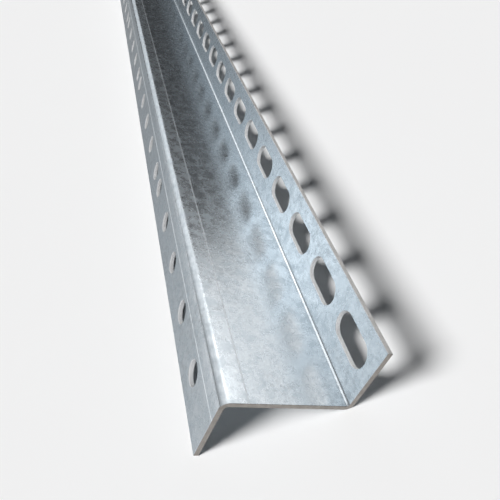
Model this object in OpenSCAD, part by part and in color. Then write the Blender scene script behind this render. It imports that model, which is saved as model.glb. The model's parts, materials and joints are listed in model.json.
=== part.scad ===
// Slotted Z-channel: one strip of galvanised sheet, punched along both edges and bent twice into a Z.
// The stock runs along Y and lies as it does unheld, on the tip of the left flange and the heel
// of the right one. The origin is below its middle, on the level that it rests on.

/* [Stock] */
// Length of the cut piece
stock_len = 1000; // [200:50:3000]
// Thickness of the sheet
sheet_t = 1.6; // [1:0.1:3]

/* [Section] */
// Width of the web, over the outside of both flanges
web_w = 40; // [30:1:80]
// Height of each flange, over the outside of the web
flange_h = 24; // [20:1:50]
// Inside radius of both bends
bend_r = 1; // [0.5:0.1:3]

/* [Punching] */
// Step from slot to slot, and from hole to hole within a group
pitch = 25; // [22:0.5:60]
// Smallest strip of flange between a punched opening and the far end
end_land = 4; // [1:0.5:20]

/* [Slots in the right flange] */
// Length of a slot, end to end
slot_len = 19; // [12:0.5:24]
// Width of a slot, and the diameter of its round ends
slot_w = 9; // [4:0.5:10]
// Centre line of the slots, below the flange's tip
slot_from_tip = 10; // [6:0.5:16]
// Centre of the first slot, from the near end
slot_start = 14; // [11:0.5:60]

/* [Round holes in the left flange] */
// Diameter of a hole
hole_d = 8; // [4:0.5:9]
// Holes in one group
group_size = 5; // [2:1:12]
// Short step from the last hole of a group to the first of the next
group_step = 14; // [10:0.5:60]
// Centre line of the holes, above the flange's tip
hole_from_tip = 10; // [6:0.5:16]
// Centre of the first hole, from the near end
hole_start = 20.5; // [6:0.5:60]

/* [Hidden] */
$fn = 64;

// The cutters run past both faces of the sheet by this much
overrun = 1;
zinc_grey = [0.70, 0.73, 0.76];

// The section's own frame has its centre in the middle of the web, and each half is the other turned round
heel_r = bend_r + sheet_t;
flange_x = web_w / 2 - sheet_t / 2;
tip_z = flange_h - sheet_t / 2;
slot_z = tip_z - slot_from_tip;
hole_z = hole_from_tip - tip_z;

// At rest the left flange's inner tip corner and the right bend's heel are equally low
tip_arm = flange_h - sheet_t + heel_r;
heel_arm = web_w - sheet_t - heel_r;
rest_tilt = acos(heel_r / norm([tip_arm, heel_arm])) - atan2(heel_arm, tip_arm);
heel_centre = [web_w / 2 - heel_r, heel_r - sheet_t / 2];
rest_height = heel_r + heel_centre.x * sin(rest_tilt) - heel_centre.y * cos(rest_tilt);

// Places along the stock, from the near end
function slot_place(i) = slot_start + i * pitch;
function hole_place(i) = let (group = floor(i / group_size))
    hole_start + (i - group) * pitch + group * group_step;
slot_limit = stock_len - end_land - slot_len / 2;
hole_limit = stock_len - end_land - hole_d / 2;
slot_places = [for (i = 0; slot_place(i) <= slot_limit; i = i + 1) slot_place(i)];
hole_places = [for (i = 0; hole_place(i) <= hole_limit; i = i + 1) hole_place(i)];

// Quarter ring of sheet between the web and a flange, about the centre of the bend
module bend() {
    intersection() {
        difference() {
            circle(r = heel_r);
            circle(r = bend_r);
        }
        translate([-heel_r, 0]) square(heel_r);
    }
}

// The Z: the flat of the web, then a bend and a flange at each of its ends
module z_section() {
    square([web_w - 2 * heel_r, sheet_t], center = true);
    for (turn = [0, 180]) rotate(turn) {
        translate([heel_r - web_w / 2, sheet_t / 2 - heel_r]) bend();
        translate([-web_w / 2, -tip_z]) square([sheet_t, flange_h - heel_r]);
    }
}

// Round punch across a flange
module punch(d) {
    rotate([0, 90, 0]) cylinder(d = d, h = sheet_t + 2 * overrun, center = true);
}

// Punch for a slot with round ends, along the stock
module slot_punch() {
    end_y = (slot_len - slot_w) / 2;
    for (y = [-end_y, end_y]) translate([0, y, 0]) punch(slot_w);
    cube([sheet_t + 2 * overrun, 2 * end_y, slot_w], center = true);
}

module z_channel() {
    color(zinc_grey)
    translate([0, 0, rest_height])
    rotate([0, rest_tilt, 0])
    difference() {
        rotate([90, 0, 0]) linear_extrude(height = stock_len, center = true) z_section();
        translate([0, -stock_len / 2, 0]) {
            for (y = slot_places) translate([flange_x, y, slot_z]) slot_punch();
            for (y = hole_places) translate([-flange_x, y, hole_z]) punch(hole_d);
        }
    }
}

z_channel();
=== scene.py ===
import json
import math

import bmesh
import bpy
from mathutils import Matrix, Vector

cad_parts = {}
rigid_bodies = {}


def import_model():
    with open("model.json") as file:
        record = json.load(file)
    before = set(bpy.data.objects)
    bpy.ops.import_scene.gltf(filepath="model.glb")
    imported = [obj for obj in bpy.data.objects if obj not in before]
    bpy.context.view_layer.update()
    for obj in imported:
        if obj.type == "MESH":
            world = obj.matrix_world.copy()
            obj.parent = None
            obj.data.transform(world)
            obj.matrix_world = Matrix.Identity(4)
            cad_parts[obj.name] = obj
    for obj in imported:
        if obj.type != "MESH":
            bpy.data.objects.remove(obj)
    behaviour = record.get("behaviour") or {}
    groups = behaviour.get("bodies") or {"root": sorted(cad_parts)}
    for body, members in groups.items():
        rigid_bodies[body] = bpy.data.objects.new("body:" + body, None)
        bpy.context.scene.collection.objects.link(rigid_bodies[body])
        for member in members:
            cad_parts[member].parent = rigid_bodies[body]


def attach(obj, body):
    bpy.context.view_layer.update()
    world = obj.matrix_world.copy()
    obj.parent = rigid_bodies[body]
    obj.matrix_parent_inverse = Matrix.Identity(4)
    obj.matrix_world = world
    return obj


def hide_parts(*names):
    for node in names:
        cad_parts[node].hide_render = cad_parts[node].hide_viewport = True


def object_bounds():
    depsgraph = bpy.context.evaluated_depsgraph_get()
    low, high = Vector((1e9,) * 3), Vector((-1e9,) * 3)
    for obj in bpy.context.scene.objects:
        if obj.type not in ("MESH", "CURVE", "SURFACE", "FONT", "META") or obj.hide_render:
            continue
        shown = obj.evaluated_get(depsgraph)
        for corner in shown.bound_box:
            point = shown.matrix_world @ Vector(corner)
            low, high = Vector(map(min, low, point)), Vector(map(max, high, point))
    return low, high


for startUp in list(bpy.data.objects):  # the start-up cube, lamp and camera
    bpy.data.objects.remove(startUp)
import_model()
cadLow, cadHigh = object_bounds()
scene = bpy.context.scene
scene.view_settings.view_transform = "Standard"
mm = 0.001

# the bent and punched strip, in millimetres, in the section's own frame:
# x across the web, y along the stock, z off the web
zStrip = {
    "sheet": 1.6, "web": 40.0, "flange": 24.0, "bendRadius": 1.0, "bendSteps": 10,
    "pitch": 25.0, "endLand": 4.0,
    "slotLength": 19.0, "slotWidth": 9.0, "slotFromTip": 10.0, "slotStart": 14.0, "sideCuts": 4,
    "hole": 8.0, "groupSize": 5, "groupStep": 14.0, "holeFromTip": 10.0, "holeStart": 20.5,
    "ringSegments": 40,
    "edgeRound": 0.14, "edgeSteps": 2,  # the roll-over that the shears leave
}
z = zStrip
stockLength = (cadHigh.y - cadLow.y) / mm
heelRadius = z["bendRadius"] + z["sheet"]
tipHeight = z["flange"] - z["sheet"] / 2
bendX = z["web"] / 2 - heelRadius
bendZ = heelRadius - z["sheet"] / 2
tipArm = z["flange"] - z["sheet"] + heelRadius
heelArm = z["web"] - z["sheet"] - heelRadius
restTilt = math.acos(heelRadius / math.hypot(tipArm, heelArm)) - math.atan2(heelArm, tipArm)
restHeight = heelRadius + bendX * math.sin(restTilt) - bendZ * math.cos(restTilt)
toRest = Matrix.Translation((0, 0, restHeight * mm)) @ Matrix.Rotation(restTilt, 4, "Y")


def slotPlaces():
    limit = stockLength - z["endLand"] - z["slotLength"] / 2
    count = int((limit - z["slotStart"]) / z["pitch"]) + 1
    return [z["slotStart"] + i * z["pitch"] for i in range(count)]


def holePlaces():
    limit = stockLength - z["endLand"] - z["hole"] / 2
    places, y = [], z["holeStart"]
    while y <= limit:
        places.append(y)
        y += z["groupStep"] if len(places) % z["groupSize"] == 0 else z["pitch"]
    return places


def wireEdges(bm):
    return [e for e in bm.edges if e.is_wire]


def punchedCell(bm, low, high, inner, outer, centre, place, width, length):
    # a closed ring for the opening and one for the cell round it, with as many points, and sheet between them
    segments = z["ringSegments"]
    flatRadius = width / 2 / math.cos(math.pi / segments)
    ring = bmesh.ops.create_circle(bm, segments=segments, radius=flatRadius)["verts"]
    bmesh.ops.rotate(bm, verts=ring, cent=(0, 0, 0), matrix=Matrix.Rotation(math.pi / segments, 3, "Z"))
    for end in (1, -1):
        half = [v for v in ring if v.co.y * end > 0]
        bmesh.ops.translate(bm, verts=half, vec=(0, end * (length - width) / 2, 0))
    bmesh.ops.translate(bm, verts=ring, vec=(centre, place, 0))
    points = segments
    if length > width:
        sides = [e for e in wireEdges(bm) if e.calc_length() > (length - width) / 2]
        bmesh.ops.subdivide_edges(bm, edges=sides, cuts=z["sideCuts"])
        points += 2 * z["sideCuts"]
    opening = set(wireEdges(bm))
    cell = bmesh.ops.create_circle(bm, segments=4, radius=math.sqrt(0.5))["verts"]
    bmesh.ops.rotate(bm, verts=cell, cent=(0, 0, 0), matrix=Matrix.Rotation(math.pi / 4, 3, "Z"))
    bmesh.ops.scale(bm, verts=cell, vec=(outer - inner, high - low, 1))
    bmesh.ops.translate(bm, verts=cell, vec=((inner + outer) / 2, (low + high) / 2, 0))
    border = [e for e in wireEdges(bm) if e not in opening]
    bmesh.ops.subdivide_edges(bm, edges=border, cuts=points // 4 - 1)
    bmesh.ops.bridge_loops(bm, edges=wireEdges(bm))


def edgesAtHeight(bm, height):
    return [e for e in bm.edges if e.is_boundary and all(abs(v.co.z - height) < 0.001 for v in e.verts)]


def bentFlange(places, inner, outer, centre, faceX, width, length, bendFrom, bendCentre):
    # one flange with its openings and its bend, as a mesh of its own
    bm = bmesh.new()
    bounds = [0.0] + [(a + b) / 2 for a, b in zip(places, places[1:])] + [stockLength]
    for low, high, place in zip(bounds, bounds[1:], places):
        punchedCell(bm, low, high, inner, outer, centre, place, width, length)
    upright = Matrix.Translation((faceX, -stockLength / 2, 0)) @ Matrix.Rotation(-math.pi / 2, 4, "Y")
    bmesh.ops.transform(bm, matrix=upright, verts=bm.verts)
    bmesh.ops.remove_doubles(bm, verts=bm.verts, dist=0.001)
    chain = edgesAtHeight(bm, bendFrom)
    geom = chain + list({v for e in chain for v in e.verts})
    bmesh.ops.spin(bm, geom=geom, cent=bendCentre, axis=(0, 1, 0), angle=math.pi / 2, steps=z["bendSteps"])
    mesh = bpy.data.meshes.new("flange")
    bm.to_mesh(mesh)
    bm.free()
    return mesh


def buildStrip():
    # the upper skin first: outside of the left flange, top of the web, inside of the right flange
    left = bentFlange(holePlaces(), -tipHeight, -bendZ, z["holeFromTip"] - tipHeight, -z["web"] / 2,
                      z["hole"], z["hole"], -bendZ, (-bendX, 0, -bendZ))
    right = bentFlange(slotPlaces(), bendZ, tipHeight, tipHeight - z["slotFromTip"],
                       z["web"] / 2 - z["sheet"], z["slotWidth"], z["slotLength"], bendZ, (bendX, 0, bendZ))
    bm = bmesh.new()
    for flange in (left, right):
        bm.from_mesh(flange)
        bpy.data.meshes.remove(flange)
    bmesh.ops.bridge_loops(bm, edges=edgesAtHeight(bm, z["sheet"] / 2))
    bmesh.ops.recalc_face_normals(bm, faces=bm.faces)
    bm.normal_update()
    top = max(bm.faces, key=lambda f: f.calc_area())
    if top.normal.z < 0:
        bmesh.ops.reverse_faces(bm, faces=bm.faces)
    print("skin", len(bm.verts), "points", len(bm.faces), "faces", sorted({len(f.verts) for f in bm.faces}))
    bmesh.ops.solidify(bm, geom=bm.faces[:], thickness=z["sheet"])
    bmesh.ops.recalc_face_normals(bm, faces=bm.faces)
    return bm


def sortFinishes(bm):
    # 0 the rolled faces, 1 the punched walls, 2 the two cut ends, 3 the slit tips
    insideX = z["web"] / 2 - z["sheet"] * 0.9
    for face in bm.faces:
        centre = face.calc_center_median()
        face.smooth = True
        if abs(centre.y) > stockLength / 2 - 0.01:
            face.material_index = 2
        elif insideX < abs(centre.x) < z["web"] / 2 - z["sheet"] * 0.1 and abs(face.normal.x) < 0.1:
            face.material_index = 3 if abs(centre.z) > tipHeight - 0.01 else 1


def roundEdges(bm):
    sharp = [e for e in bm.edges if len(e.link_faces) == 2 and e.calc_face_angle() > math.radians(60)]
    bmesh.ops.bevel(bm, geom=sharp, offset=z["edgeRound"], offset_type="OFFSET", segments=z["edgeSteps"],
                    profile=0.5, affect="EDGES", material=-1)


strip = buildStrip()
sortFinishes(strip)
roundEdges(strip)
bmesh.ops.transform(strip, matrix=toRest @ Matrix.Scale(mm, 4), verts=strip.verts)
stripMesh = bpy.data.meshes.new("zStrip")
strip.to_mesh(stripMesh)
strip.free()
zChannel = bpy.data.objects.new("zStrip", stripMesh)
scene.collection.objects.link(zChannel)
flatFaces = zChannel.modifiers.new("flatFaces", "WEIGHTED_NORMAL")
flatFaces.keep_sharp = False
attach(zChannel, "root")
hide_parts("z_channel")
print("strip:", len(slotPlaces()), "slots,", len(holePlaces()), "holes,", len(stripMesh.polygons), "faces")


def addNode(tree, kind, inputs=None, **settings):
    node = tree.nodes.new(kind)
    for name, value in settings.items():
        setattr(node, name, value)
    for name, value in (inputs or {}).items():
        if isinstance(value, bpy.types.NodeSocket):
            tree.links.new(value, node.inputs[name])
        else:
            node.inputs[name].default_value = value
    return node


def maths(tree, operation, a, b=0.0, clamp=False):
    node = addNode(tree, "ShaderNodeMath", {0: a, 1: b}, operation=operation, use_clamp=clamp)
    return node.outputs[0]


def remap(tree, value, fromLow, fromHigh, toLow, toHigh, smooth=False):
    node = addNode(tree, "ShaderNodeMapRange", {"Value": value, "From Min": fromLow, "From Max": fromHigh,
                                                "To Min": toLow, "To Max": toHigh})
    node.interpolation_type = "SMOOTHSTEP" if smooth else "LINEAR"
    return node.outputs["Result"]


def newGroup(name, inputs, outputs):
    tree = bpy.data.node_groups.new(name, "ShaderNodeTree")
    for label, kind, value in inputs:
        socket = tree.interface.new_socket(label, in_out="INPUT", socket_type=kind)
        if value is not None:
            socket.default_value = value
    for label, kind in outputs:
        tree.interface.new_socket(label, in_out="OUTPUT", socket_type=kind)
    return tree, tree.nodes.new("NodeGroupInput").outputs, tree.nodes.new("NodeGroupOutput").inputs


def spangleGroup():
    # zinc crystals: each cell has a tone of its own, and its border is a fine groove
    tree, give, put = newGroup("spangle",
                               [("Vector", "NodeSocketVector", None), ("Scale", "NodeSocketFloat", 250.0)],
                               [("Tone", "NodeSocketFloat"), ("Height", "NodeSocketFloat")])
    warp = addNode(tree, "ShaderNodeTexNoise", {"Vector": give["Vector"], "Scale": 300.0, "Detail": 2.0})
    bent = addNode(tree, "ShaderNodeMixRGB", {0: 0.004, 1: give["Vector"], 2: warp.outputs["Color"]},
                   blend_type="ADD")
    cells = addNode(tree, "ShaderNodeTexVoronoi", {"Vector": bent.outputs[0], "Scale": give["Scale"]})
    tone = addNode(tree, "ShaderNodeSeparateColor", {0: cells.outputs["Color"]})
    tree.links.new(tone.outputs[0], put["Tone"])
    tree.links.new(cells.outputs["Distance"], put["Height"])
    return tree


def mottleGroup():
    # cloudy patches, with their contrast
    tree, give, put = newGroup("mottle",
                               [("Vector", "NodeSocketVector", None), ("Scale", "NodeSocketFloat", 60.0),
                                ("Contrast", "NodeSocketFloat", 2.0)],
                               [("Mask", "NodeSocketFloat")])
    noise = addNode(tree, "ShaderNodeTexNoise", {"Vector": give["Vector"], "Scale": give["Scale"],
                                                 "Detail": 4.0, "Roughness": 0.6})
    spread = maths(tree, "MULTIPLY", maths(tree, "SUBTRACT", noise.outputs["Fac"], 0.5), give["Contrast"])
    tree.links.new(maths(tree, "ADD", spread, 0.5, clamp=True), put["Mask"])
    return tree


def streakGroup():
    # long marks along the stock, left by the rolls
    tree, give, put = newGroup("rollStreaks",
                               [("Vector", "NodeSocketVector", None), ("Fineness", "NodeSocketFloat", 700.0)],
                               [("Mask", "NodeSocketFloat")])
    long = addNode(tree, "ShaderNodeMapping", {"Vector": give["Vector"], "Scale": (1.0, 0.02, 1.0)})
    noise = addNode(tree, "ShaderNodeTexNoise", {"Vector": long.outputs[0], "Scale": give["Fineness"],
                                                 "Detail": 3.0})
    tree.links.new(remap(tree, noise.outputs["Fac"], 0.3, 0.7, 0.0, 1.0), put["Mask"])
    return tree


spangle, mottle, rollStreaks = spangleGroup(), mottleGroup(), streakGroup()


def newMaterial(name):
    material = bpy.data.materials.new(name)
    material.use_nodes = True
    tree = material.node_tree
    tree.nodes.clear()
    shader = tree.nodes.new("ShaderNodeBsdfPrincipled")
    out = tree.nodes.new("ShaderNodeOutputMaterial")
    tree.links.new(shader.outputs[0], out.inputs["Surface"])
    place = tree.nodes.new("ShaderNodeTexCoord").outputs["Object"]
    return material, tree, shader, place


def sectionPlace(tree, place):
    # back to the section's own frame, so that patterns follow the sheet
    lowered = addNode(tree, "ShaderNodeMapping", {"Vector": place, "Location": (0, 0, -restHeight * mm)})
    level = addNode(tree, "ShaderNodeMapping", {"Vector": lowered.outputs[0], "Rotation": (0, -restTilt, 0)})
    return level.outputs[0]


def useGroup(tree, group, inputs):
    node = tree.nodes.new("ShaderNodeGroup")
    node.node_tree = group
    for name, value in inputs.items():
        if isinstance(value, bpy.types.NodeSocket):
            tree.links.new(value, node.inputs[name])
        else:
            node.inputs[name].default_value = value
    return node.outputs


zincFinish = {
    "dull": (0.50, 0.57, 0.62, 1), "bright": (0.80, 0.845, 0.88, 1),
    "stain": (0.24, 0.25, 0.26, 1), "heel": (0.36, 0.40, 0.43, 1),
    "spangleScale": 330.0, "fineScale": 1900.0, "grainScale": 900.0, "blotchScale": 260.0, "patchScale": 55.0,
    "boldContrast": 3.2, "softContrast": 2.2, "streakFineness": 700.0,
    # each pattern's share of the colour, the polish and the relief
    "toneShares": {"cells": 0.12, "fine": 0.12, "grain": 0.30, "blotch": 0.30, "patch": 0.08, "streak": 0.08},
    "polishShares": {"grain": 0.30, "blotch": 0.40, "patch": 0.10, "cells": 0.2},
    "reliefShares": {"fine": 0.3, "grain": 0.4, "blotch": 0.4, "border": 0.3},
    "roughLow": 0.15, "roughHigh": 0.36, "bump": 0.09, "bumpDepth": 0.0002, "grazing": (0.22, 0.23, 0.24, 1),
    "speckScale": 620.0, "speckContrast": 7.0, "scuffScale": 35.0, "scuffContrast": 5.0,
    "stainFrom": 0.55, "stainMost": 0.22,
    "metallic": 0.92, "markedMetal": 0.45, "creaseMetal": 0.88,  # a mark or a crease whitens the zinc
    "dieMark": 7.8, "dieWidth": 0.40, "dieTone": 0.35, "diePolish": -0.5,  # press lines, from the corner
    "easeFrom": 7.8, "webEase": 2.0, "flangeEase": 7.0,  # strips beside a bend, and their tilt in degrees
    "creaseReach": 1.7, "creaseRough": 0.02,
    "heelFrom": (0.35, 0.62), "heelTo": (0.88, 0.98),  # shares of the turn
    "heelRough": 0.26, "heelTone": 0.30,
    "stripTone": 0.08, "stripRough": 0.02, "stripMetal": 0.88,  # the web between a bend and its press line
}


def separate(tree, vector):
    return addNode(tree, "ShaderNodeSeparateXYZ", {0: vector}).outputs


def band(tree, value, middle, halfWidth):
    away = maths(tree, "ABSOLUTE", maths(tree, "SUBTRACT", value, middle * mm))
    return remap(tree, away, 0.0, halfWidth * mm, 1.0, 0.0, smooth=True)


def halfTurned(tree, at):
    # each half of the Z is the other turned round, so both are read as the right one
    x, _, off = separate(tree, at)
    across, up = maths(tree, "ABSOLUTE", x), maths(tree, "MULTIPLY", off, maths(tree, "SIGN", x))
    return across, up, maths(tree, "MULTIPLY", x, maths(tree, "SIGN", off))


def outsideMask(tree, across, up):
    # the skin on the far side from the bend's centre, on the web, round the bend and on the flange
    right = maths(tree, "MAXIMUM", maths(tree, "SUBTRACT", across, bendX * mm), 0.0)
    below = maths(tree, "MAXIMUM", maths(tree, "SUBTRACT", bendZ * mm, up), 0.0)
    spot = addNode(tree, "ShaderNodeCombineXYZ", {0: right, 2: below}).outputs[0]
    away = addNode(tree, "ShaderNodeVectorMath", {0: spot}, operation="LENGTH").outputs["Value"]
    return maths(tree, "GREATER_THAN", away, (z["bendRadius"] + z["sheet"] / 2) * mm)


def dieMarks(tree, at, finish):
    across, up, along = halfTurned(tree, at)
    onWeb = band(tree, along, finish["dieMark"] - z["web"] / 2, finish["dieWidth"])
    onFlange = band(tree, up, finish["dieMark"] - z["sheet"] / 2, finish["dieWidth"])
    onFlange = maths(tree, "MULTIPLY", onFlange, outsideMask(tree, across, up))
    return maths(tree, "ADD", onWeb, onFlange, clamp=True)


def bendMasks(tree, at, finish):
    # the hollow side of a bend, and the part of its outer side that is turned from the flange towards the web
    across, up, _ = halfTurned(tree, at)
    outer = outsideMask(tree, across, up)
    spot = addNode(tree, "ShaderNodeCombineXYZ", {0: across, 2: up}).outputs[0]
    centre = (bendX * mm, 0.0, bendZ * mm)
    away = addNode(tree, "ShaderNodeVectorMath", {0: spot, 1: centre}, operation="DISTANCE").outputs["Value"]
    crease = remap(tree, away, z["bendRadius"] * mm, finish["creaseReach"] * mm, 1.0, 0.0, smooth=True)
    turn = maths(tree, "DIVIDE", maths(tree, "SUBTRACT", bendZ * mm, up), heelRadius * mm)
    heel = maths(tree, "MULTIPLY", remap(tree, turn, *finish["heelFrom"], 0.0, 1.0, smooth=True),
                 remap(tree, turn, *finish["heelTo"], 1.0, 0.0, smooth=True))
    hollow = maths(tree, "SUBTRACT", 1.0, outer)
    return maths(tree, "MULTIPLY", crease, hollow), maths(tree, "MULTIPLY", heel, outer)


def strainedStrip(tree, at, finish):
    across, up, along = halfTurned(tree, at)
    edge = (finish["dieMark"] - z["web"] / 2) * mm
    onWeb = remap(tree, along, edge, edge + finish["dieWidth"] * mm, 1.0, 0.0)
    return maths(tree, "MULTIPLY", onWeb, outsideMask(tree, across, up))


def easedHeight(tree, at, finish):
    # in metres below the flat faces, on the outer side of each bend
    across, up, along = halfTurned(tree, at)
    span = (finish["easeFrom"] - heelRadius) * mm
    total = 0.0
    for place, edge, tilt in ((along, finish["easeFrom"] - z["web"] / 2, finish["webEase"]),
                              (up, finish["easeFrom"] - z["sheet"] / 2, finish["flangeEase"])):
        reach = maths(tree, "MAXIMUM", maths(tree, "SUBTRACT", edge * mm, place), 0.0)
        steepness = -math.tan(math.radians(tilt)) / (2 * span)
        fall = maths(tree, "MULTIPLY", maths(tree, "MULTIPLY", reach, reach), steepness)
        if place == up:
            fall = maths(tree, "MULTIPLY", fall, outsideMask(tree, across, up))
        total = maths(tree, "ADD", fall, total)
    return total


def mixed(tree, mask, low, high):
    node = addNode(tree, "ShaderNodeMix", data_type="RGBA")
    for socket, value in ((node.inputs[0], mask), (node.inputs[6], low), (node.inputs[7], high)):
        if isinstance(value, bpy.types.NodeSocket):
            tree.links.new(value, socket)
        else:
            socket.default_value = value
    return node.outputs[2]


def weighed(tree, shares):
    total = None
    for mask, share in shares:
        part = maths(tree, "MULTIPLY", mask, share)
        total = part if total is None else maths(tree, "ADD", total, part)
    return total


def zincMaterial(finish):
    material, tree, shader, place = newMaterial("galvanisedSheet")
    at = sectionPlace(tree, place)
    bold, soft = finish["boldContrast"], finish["softContrast"]

    def cloud(scale, contrast):
        return useGroup(tree, mottle, {"Vector": at, "Scale": finish[scale], "Contrast": contrast})["Mask"]

    cells = useGroup(tree, spangle, {"Vector": at, "Scale": finish["spangleScale"]})
    streak = useGroup(tree, rollStreaks, {"Vector": at, "Fineness": finish["streakFineness"]})["Mask"]
    masks = {"cells": cells["Tone"], "border": cells["Height"], "streak": streak,
             "grain": cloud("grainScale", bold), "blotch": cloud("blotchScale", bold),
             "patch": cloud("patchScale", soft), "fine": cloud("fineScale", soft)}

    def shared(shares, *more):
        return weighed(tree, [(masks[name], share) for name, share in finish[shares].items()] + list(more))

    marks = dieMarks(tree, at, finish)
    crease, heel = bendMasks(tree, at, finish)
    strip = strainedStrip(tree, at, finish)
    tone = shared("toneShares", (marks, finish["dieTone"]), (strip, finish["stripTone"]))
    zinc = mixed(tree, maths(tree, "ADD", tone, 0.0, clamp=True), finish["dull"], finish["bright"])
    zinc = mixed(tree, maths(tree, "MULTIPLY", heel, finish["heelTone"]), zinc, finish["heel"])
    specks = cloud("speckScale", finish["speckContrast"])
    scuffed = cloud("scuffScale", finish["scuffContrast"])
    both = maths(tree, "MULTIPLY", specks, scuffed)
    stains = remap(tree, both, finish["stainFrom"], 1.0, 0.0, finish["stainMost"])
    tree.links.new(mixed(tree, stains, zinc, finish["stain"]), shader.inputs["Base Color"])
    polish = shared("polishShares", (marks, finish["diePolish"]))
    rough = remap(tree, polish, 0.0, 1.0, finish["roughHigh"], finish["roughLow"])
    worked = weighed(tree, ((heel, finish["heelRough"]), (crease, finish["creaseRough"]),
                            (strip, finish["stripRough"])))
    tree.links.new(maths(tree, "ADD", rough, worked, clamp=True), shader.inputs["Roughness"])
    whole = finish["metallic"]
    loss = weighed(tree, ((marks, whole - finish["markedMetal"]), (crease, whole - finish["creaseMetal"]),
                          (strip, whole - finish["stripMetal"])))
    tree.links.new(maths(tree, "SUBTRACT", whole, loss, clamp=True), shader.inputs["Metallic"])
    eased = addNode(tree, "ShaderNodeBump", {"Strength": 1.0, "Distance": 1.0,
                                             "Height": easedHeight(tree, at, finish)})
    bump = addNode(tree, "ShaderNodeBump", {"Strength": finish["bump"], "Distance": finish["bumpDepth"],
                                            "Height": shared("reliefShares"), "Normal": eased.outputs[0]})
    tree.links.new(bump.outputs[0], shader.inputs["Normal"])
    shader.inputs["Specular Tint"].default_value = finish["grazing"]
    return material


edgeFinish = {
    "dull": (0.88, 0.89, 0.90, 1), "bright": (0.97, 0.975, 0.98, 1),
    "rough": (0.50, 0.70), "bump": 0.10, "metallic": 0.25,
}
tipFinish = {
    "dull": (0.44, 0.43, 0.42, 1), "bright": (0.66, 0.65, 0.64, 1),
    "rough": (0.45, 0.62), "bump": 0.15, "metallic": 0.85,
}
endFinish = {
    "dull": (0.26, 0.24, 0.22, 1), "bright": (0.46, 0.43, 0.40, 1),
    "rough": (0.45, 0.65), "bump": 0.25, "metallic": 0.8,
}
# what all sheared walls share: torn patches, fine grit and how they mix
sheared = {"coarseScale": 500.0, "gritScale": 2600.0, "contrast": 2.0, "coarseShare": 0.55, "gritShare": 0.45,
           "bumpDepth": 0.0002}


def shearedMaterial(name, finish):
    material, tree, shader, place = newMaterial(name)
    at = sectionPlace(tree, place)
    coarse, grit = [useGroup(tree, mottle, {"Vector": at, "Scale": sheared[scale],
                                            "Contrast": sheared["contrast"]})["Mask"]
                    for scale in ("coarseScale", "gritScale")]
    tone = weighed(tree, ((coarse, sheared["coarseShare"]), (grit, sheared["gritShare"])))
    tree.links.new(mixed(tree, tone, finish["dull"], finish["bright"]), shader.inputs["Base Color"])
    smoothest, roughest = finish["rough"]
    tree.links.new(remap(tree, tone, 0.0, 1.0, roughest, smoothest), shader.inputs["Roughness"])
    bump = addNode(tree, "ShaderNodeBump", {"Strength": finish["bump"], "Distance": sheared["bumpDepth"],
                                            "Height": grit})
    tree.links.new(bump.outputs[0], shader.inputs["Normal"])
    shader.inputs["Metallic"].default_value = finish["metallic"]
    return material


# in the order of sortFinishes
for finish in (zincMaterial(zincFinish), shearedMaterial("punchedWalls", edgeFinish),
               shearedMaterial("cutEnds", endFinish), shearedMaterial("slitTips", tipFinish)):
    stripMesh.materials.append(finish)
print("finishes:", [m.name for m in stripMesh.materials])

studio = {
    "floorSize": 8.0, "floorColour": (0.90, 0.90, 0.90, 1), "floorDull": 0.985, "floorCloud": 6.0,
    "floorRough": 0.9, "world": (0.030, 0.031, 0.033, 1),
    "keyAt": (-1.98, -1.02, 2.16), "keyAim": (0.0, -0.42, 0.0), "keySpread": 24.0, "keyStrength": 4.1,
}
# soft cards that show in the metal and leave the floor's shadow alone: place, aim, size and glow
cards = {
    "topCard": ((0.02, -0.01, 0.75), (0.0, -0.5, 0.0), (0.9, 0.8), 1.25),
    "sideCard": ((0.60, -0.12, 0.26), (0.0, -0.46, 0.01), (0.62, 0.45), 0.95),
    "bendCard": ((0.44, -0.02, 0.52), (0.0, -0.46, 0.01), (0.32, 0.25), 1.6),
    "frontCard": ((-0.15, -1.20, 0.55), (0.0, -0.45, 0.0), (1.2, 0.8), 1.2),
    "leftCard": ((-0.65, 0.15, 0.21), (0.0, -0.35, 0.01), (1.0, 0.40), 0.7),
    "backCard": ((-0.10, 0.57, 0.59), (0.0, -0.3, 0.0), (0.6, 0.8), 1.55),
}


def aimed(obj, target):
    obj.rotation_euler = (Vector(target) - obj.location).to_track_quat("-Z", "Y").to_euler()


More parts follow.
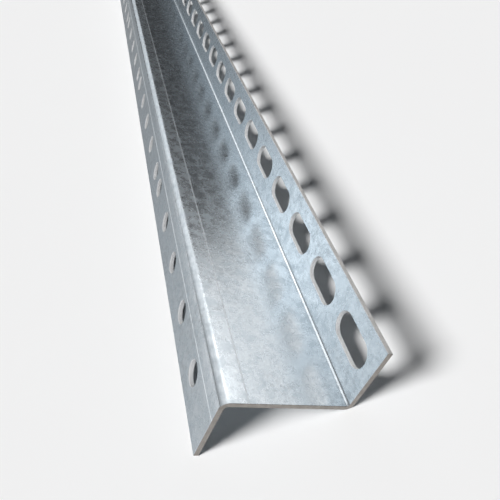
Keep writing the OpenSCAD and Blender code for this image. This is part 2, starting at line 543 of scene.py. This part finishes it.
def softLamp(name, at, aim, size, power):
    lamp = bpy.data.lights.new(name, "AREA")
    lamp.shape, lamp.size, lamp.size_y = "RECTANGLE", size[0], size[1]
    lamp.energy = power
    obj = bpy.data.objects.new(name, lamp)
    obj.location = at
    aimed(obj, aim)
    scene.collection.objects.link(obj)
    return obj


def buildStudio():
    bm = bmesh.new()
    bmesh.ops.create_grid(bm, x_segments=1, y_segments=1, size=studio["floorSize"] / 2)
    mesh = bpy.data.meshes.new("floor")
    bm.to_mesh(mesh)
    bm.free()
    floor = bpy.data.objects.new("floor", mesh)
    scene.collection.objects.link(floor)
    material, tree, shader, place = newMaterial("paleFloor")
    cloud = useGroup(tree, mottle, {"Vector": place, "Scale": studio["floorCloud"], "Contrast": 1.0})["Mask"]
    pale = studio["floorColour"]
    dull = [c * studio["floorDull"] for c in pale[:3]] + [1]
    tree.links.new(mixed(tree, cloud, dull, pale), shader.inputs["Base Color"])
    shader.inputs["Roughness"].default_value = studio["floorRough"]
    shader.inputs["Specular IOR Level"].default_value = 0.0
    mesh.materials.append(material)
    world = bpy.data.worlds.new("studio")
    world.use_nodes = True
    world.node_tree.nodes["Background"].inputs["Color"].default_value = studio["world"]
    scene.world = world
    even = bpy.data.lights.new("key", "SUN")  # the same level over the whole floor
    even.energy, even.angle = studio["keyStrength"], math.radians(studio["keySpread"])
    key = bpy.data.objects.new("key", even)
    key.location = studio["keyAt"]
    aimed(key, studio["keyAim"])
    key.visible_glossy = False
    scene.collection.objects.link(key)
    for name, (at, aim, size, glow) in cards.items():
        card = softLamp(name, at, aim, size, glow * math.pi * size[0] * size[1])
        card.visible_diffuse = False


buildStudio()
print("studio ready")

camera = {"at": (-0.00611, -0.57591, 0.13687), "turn": (47.196, 10.005, -13.312), "lens": 38.14}
lens = bpy.data.cameras.new("photoView")
lens.sensor_width, lens.lens, lens.clip_start = 36.0, camera["lens"], 0.005
view = bpy.data.objects.new("photoView", lens)
view.location = camera["at"]
view.rotation_euler = [math.radians(a) for a in camera["turn"]]
scene.collection.objects.link(view)
scene.camera = view
